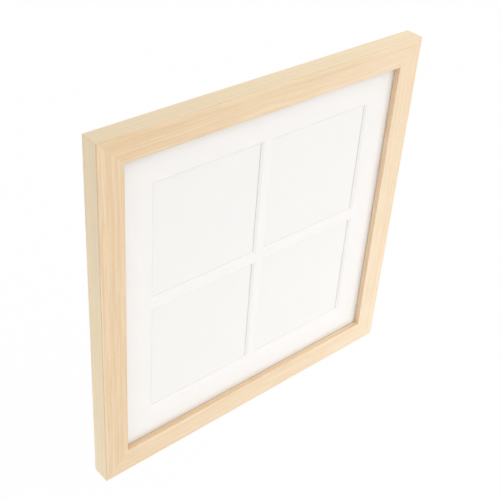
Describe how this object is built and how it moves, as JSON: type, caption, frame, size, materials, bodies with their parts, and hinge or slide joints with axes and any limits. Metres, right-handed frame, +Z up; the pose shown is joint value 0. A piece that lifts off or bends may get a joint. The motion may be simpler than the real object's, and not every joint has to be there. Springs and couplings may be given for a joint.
{
  "type": "collage photo frame",
  "caption": "Square wall frame in pale wood with mitred corners, a glazed white mat with a grid of bevelled square windows, turn buttons and D-ring hangers.",
  "frame": {"origin": "middle of the bottom rail's outer face, halfway through the moulding's depth", "axes": "+X to the viewer's right, -Y out of the front face, +Y towards the wall, +Z up"},
  "size_m": [0.282, 0.019, 0.282],
  "materials": {
    "wood": "satin clear lacquer",
    "nail_steel": "bare",
    "glass": "polished",
    "mat_board": "matt",
    "white_paper": "matt",
    "corrugated_board": "matt",
    "hardboard": "smooth hardboard",
    "button_steel": "nickel",
    "zinc_steel": "zinc",
    "bumper_rubber": "matt"
  },
  "bodies": {
    "frame": {"top_rail": "wood", "bottom_rail": "wood", "left_rail": "wood", "right_rail": "wood", "corner_v_nails": "nail_steel", "glass_pane": "glass", "window_mat": "mat_board", "insert_sheet": "white_paper", "filler_board": "corrugated_board", "backing_board": "hardboard", "turn_button_screws": "zinc_steel", "hanger_strap_left": "zinc_steel", "hanger_strap_right": "zinc_steel", "hanger_screws": "zinc_steel", "wall_bumper_left": "bumper_rubber", "wall_bumper_right": "bumper_rubber"},
    "turn_button_top_left": {"turn_button_top_left": "button_steel"},
    "turn_button_top_right": {"turn_button_top_right": "button_steel"},
    "turn_button_bottom_left": {"turn_button_bottom_left": "button_steel"},
    "turn_button_bottom_right": {"turn_button_bottom_right": "button_steel"},
    "turn_button_left": {"turn_button_left": "button_steel"},
    "turn_button_right": {"turn_button_right": "button_steel"},
    "hanger_ring_left": {"hanger_ring_left": "zinc_steel"},
    "hanger_ring_right": {"hanger_ring_right": "zinc_steel"}
  },
  "joints": [
    {"name": "turn_button_top_left_swivel", "type": "hinge", "parent": "frame", "child": "turn_button_top_left", "pos_m": [-0.0625, 0.0075, 0.2745], "axis": [0, 1, 0], "range_deg": [-90, 90]},
    {"name": "turn_button_top_right_swivel", "type": "hinge", "parent": "frame", "child": "turn_button_top_right", "pos_m": [0.0625, 0.0075, 0.2745], "axis": [0, 1, 0], "range_deg": [-90, 90]},
    {"name": "turn_button_bottom_left_swivel", "type": "hinge", "parent": "frame", "child": "turn_button_bottom_left", "pos_m": [-0.0625, 0.0075, 0.0075], "axis": [0, 1, 0], "range_deg": [-90, 90]},
    {"name": "turn_button_bottom_right_swivel", "type": "hinge", "parent": "frame", "child": "turn_button_bottom_right", "pos_m": [0.0625, 0.0075, 0.0075], "axis": [0, 1, 0], "range_deg": [-90, 90]},
    {"name": "turn_button_left_swivel", "type": "hinge", "parent": "frame", "child": "turn_button_left", "pos_m": [-0.1335, 0.0075, 0.141], "axis": [0, 1, 0], "range_deg": [-90, 90]},
    {"name": "turn_button_right_swivel", "type": "hinge", "parent": "frame", "child": "turn_button_right", "pos_m": [0.1335, 0.0075, 0.141], "axis": [0, 1, 0], "range_deg": [-90, 90]},
    {"name": "hanger_ring_left_swing", "type": "hinge", "parent": "frame", "child": "hanger_ring_left", "pos_m": [-0.1305, 0.00928, 0.222], "axis": [1, 0, 0], "range_deg": [0, 170]},
    {"name": "hanger_ring_right_swing", "type": "hinge", "parent": "frame", "child": "hanger_ring_right", "pos_m": [0.1305, 0.00928, 0.222], "axis": [1, 0, 0], "range_deg": [0, 170]}
  ]
}
